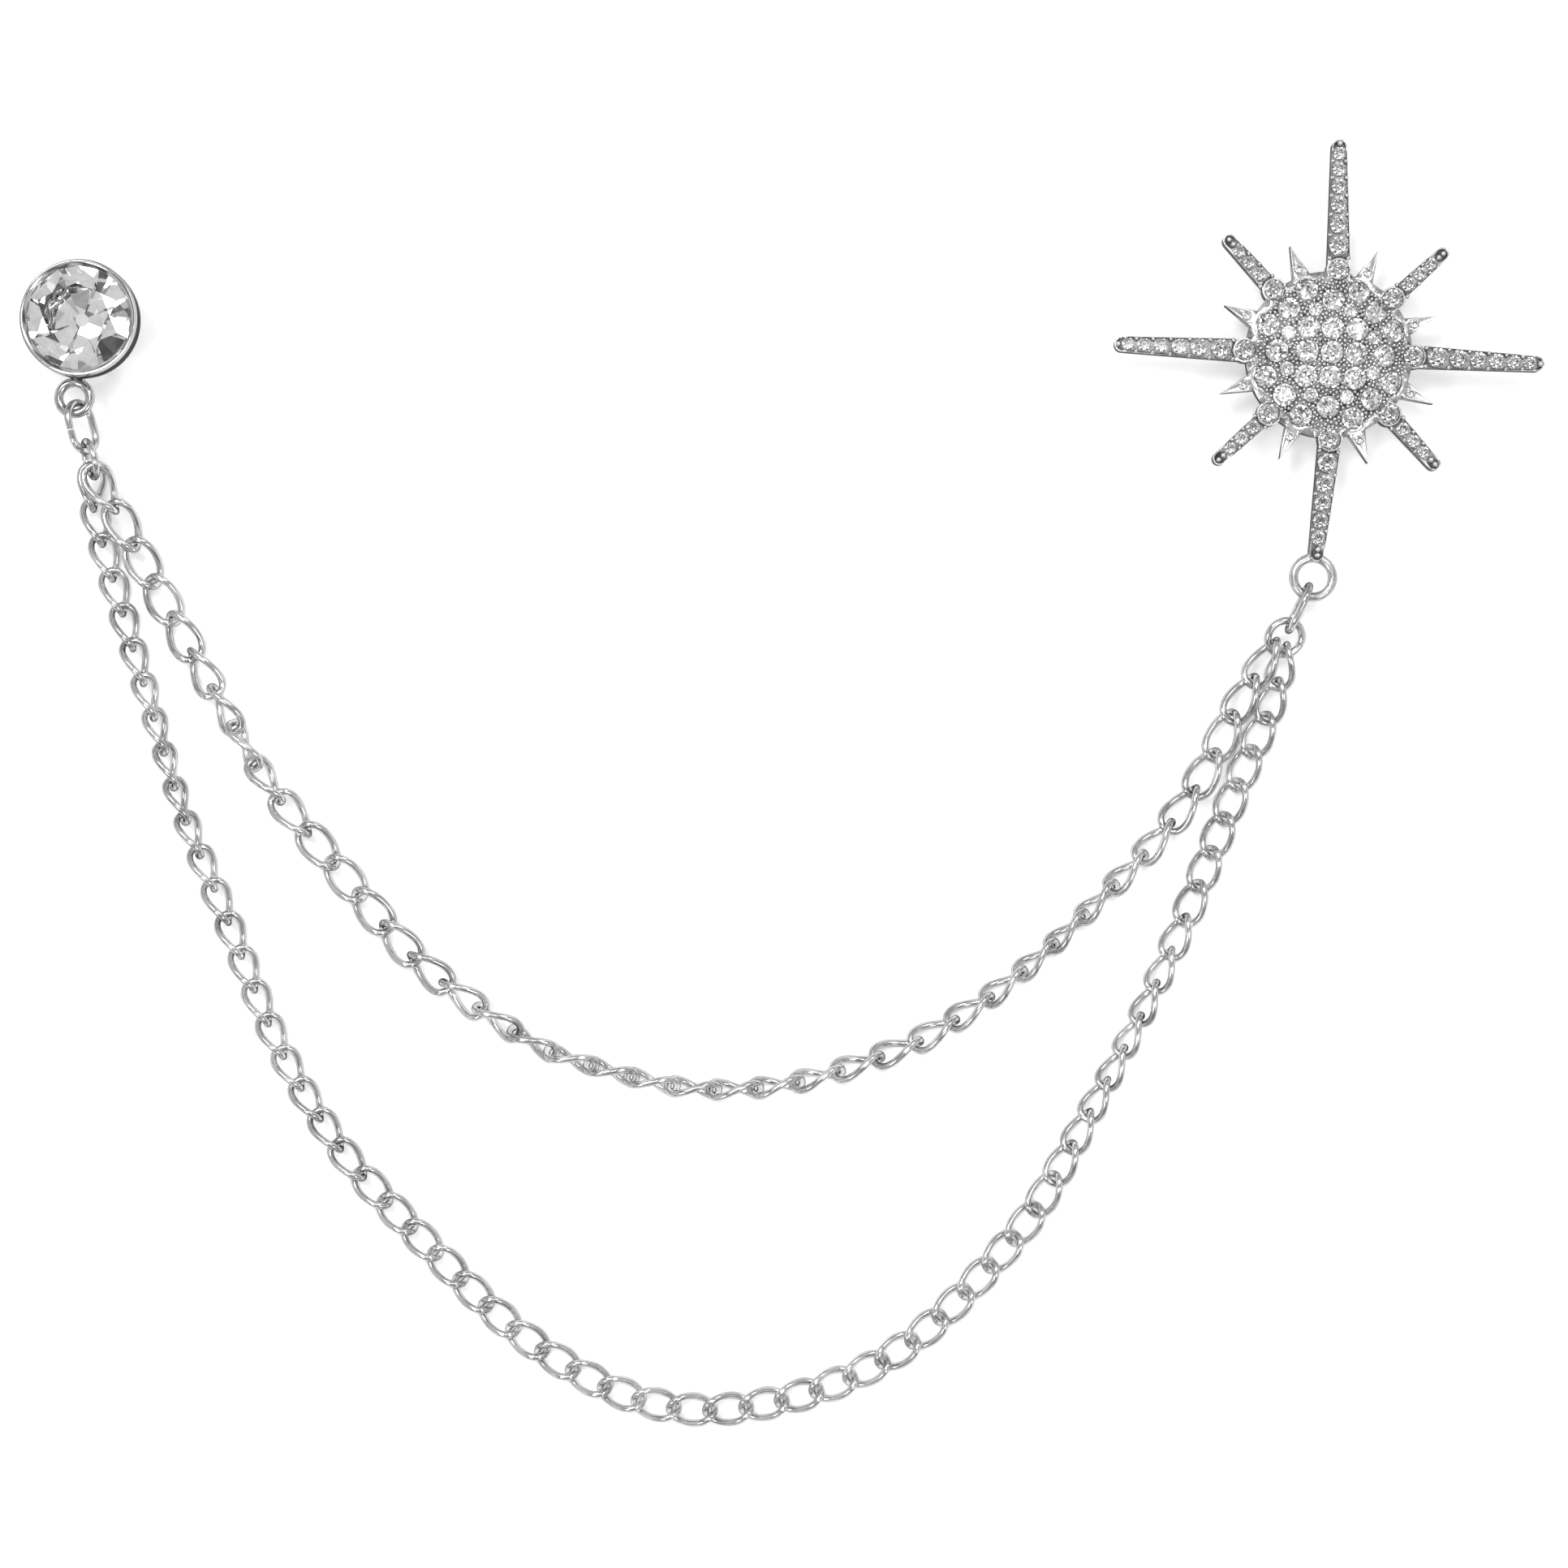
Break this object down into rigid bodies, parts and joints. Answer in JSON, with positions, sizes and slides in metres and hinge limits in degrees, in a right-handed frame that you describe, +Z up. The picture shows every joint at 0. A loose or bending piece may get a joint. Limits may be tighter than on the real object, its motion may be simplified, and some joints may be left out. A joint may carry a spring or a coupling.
{
  "type": "lapel chain",
  "caption": "A lapel chain: a round stone stud and a stone-set star brooch joined by two hanging strands of twisted oval links",
  "frame": {"origin": "middle of the jewel's outline on the surface it lies on; z = 0 is that surface", "axes": "+X from the stud towards the star, +Y from the strands' lowest sag towards the stud and star, +Z up from the surface, the side that is worn outward"},
  "size_m": [0.1539, 0.1309, 0.0089],
  "materials": {
    "silver": "bright plated white metal",
    "crystal": "clear cut stone with a foiled back"
  },
  "bodies": {
    "root": {"stud_cup": "silver", "stud_stone": "crystal", "stud_tack": "silver", "stud_joiner": "silver", "stud_ring": "silver", "outer_chain": "silver", "inner_chain": "silver", "star_ring": "silver", "star_joiner": "silver", "star_body": "silver", "dome_stones": "crystal", "ray_stones": "crystal", "star_tack": "silver"}
  },
  "joints": []
}
